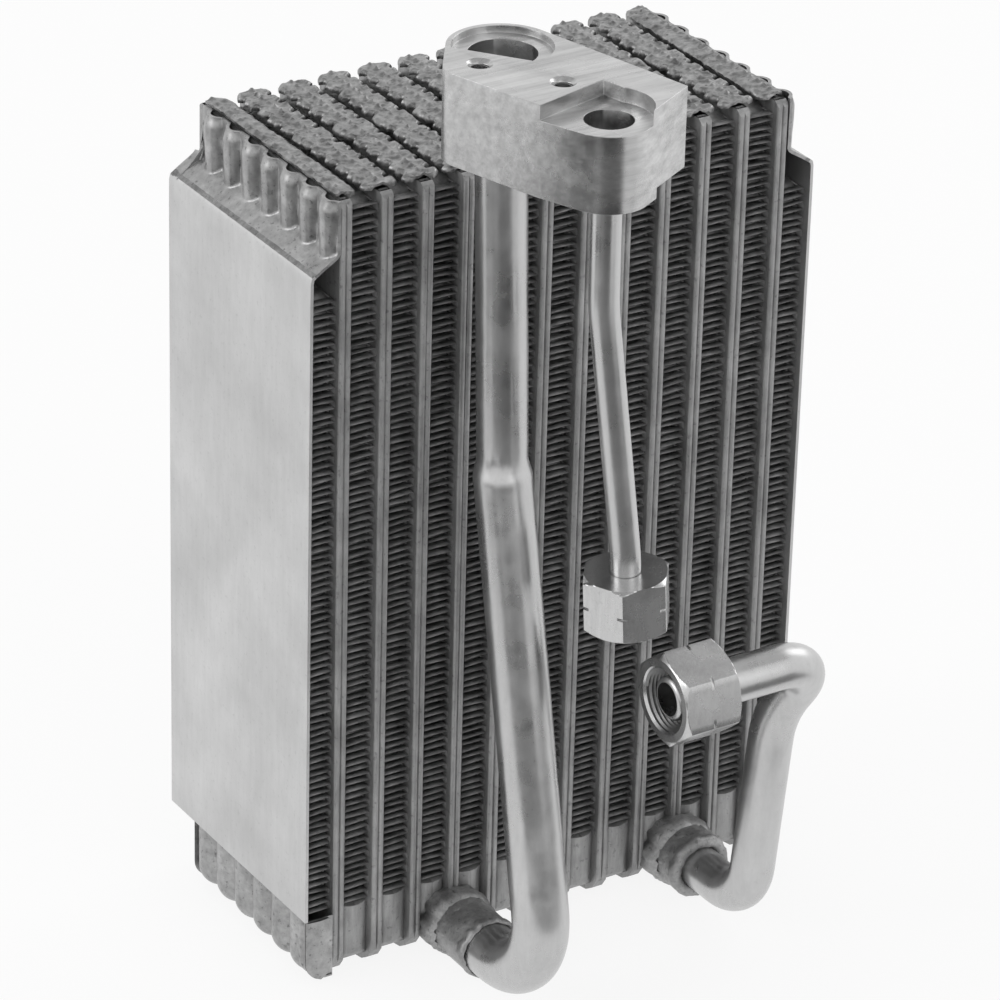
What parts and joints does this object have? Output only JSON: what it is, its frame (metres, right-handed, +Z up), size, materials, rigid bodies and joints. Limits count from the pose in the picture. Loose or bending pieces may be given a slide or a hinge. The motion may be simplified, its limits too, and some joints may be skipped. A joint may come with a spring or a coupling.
{
  "type": "evaporator core",
  "caption": "Upright brazed stack of stamped flat tubes and serpentine fins between two end plates, with a two-port connector block and pipes that end in captive nuts.",
  "frame": {"origin": "middle of the left end panel's outer face", "axes": "+X along the stack of flat tubes, from the left end plate to the right one; +Z up along the tubes; -Y is the side that the pipes leave from"},
  "size_m": [0.1595, 0.1501, 0.2818],
  "materials": {
    "stamped_plates": "dull brazed sheet with flux haze",
    "fins": "thin brazed strip, dark between the leaves",
    "end_plates": "matt sheet with faint streaks",
    "stubs": "brazed, slightly rough",
    "pipes": "satin drawn tube with handling marks",
    "block": "milled, with fine tool lines",
    "nuts": "turned and milled, bright"
  },
  "bodies": {
    "core": {"left_end_plate": "end_plates", "right_end_plate": "end_plates", "plate_01_left": "stamped_plates", "plate_01_right": "stamped_plates", "plate_02_left": "stamped_plates", "plate_02_right": "stamped_plates", "plate_03_left": "stamped_plates", "plate_03_right": "stamped_plates", "plate_04_left": "stamped_plates", "plate_04_right": "stamped_plates", "plate_05_left": "stamped_plates", "plate_05_right": "stamped_plates", "plate_06_left": "stamped_plates", "plate_06_right": "stamped_plates", "plate_07_left": "stamped_plates", "plate_07_right": "stamped_plates", "plate_08_left": "stamped_plates", "plate_08_right": "stamped_plates", "plate_09_left": "stamped_plates", "plate_09_right": "stamped_plates", "plate_10_left": "stamped_plates", "plate_10_right": "stamped_plates", "plate_11_left": "stamped_plates", "plate_11_right": "stamped_plates", "plate_12_left": "stamped_plates", "plate_12_right": "stamped_plates", "fin_01": "fins", "fin_02": "fins", "fin_03": "fins", "fin_04": "fins", "fin_05": "fins", "fin_06": "fins", "fin_07": "fins", "fin_08": "fins", "fin_09": "fins", "fin_10": "fins", "fin_11": "fins", "fin_12": "fins", "fin_13": "fins", "suction_stub": "stubs", "inlet_stub": "stubs", "suction_pipe": "pipes", "inlet_pipe": "pipes", "liquid_pipe": "pipes", "connector_block": "block"},
    "liquid_nut": {"liquid_nut": "nuts"},
    "inlet_nut": {"inlet_nut": "nuts"}
  },
  "joints": [
    {"name": "liquid_nut_turn", "type": "hinge", "parent": "core", "child": "liquid_nut", "pos_m": [0.0631, -0.0985, 0.0088], "axis": [-0.061, 0, 0.9981], "continuous": true},
    {"name": "inlet_nut_turn", "type": "hinge", "parent": "core", "child": "inlet_nut", "pos_m": [0.0757, -0.0985, -0.0185], "axis": [1, 0, 0], "continuous": true}
  ]
}
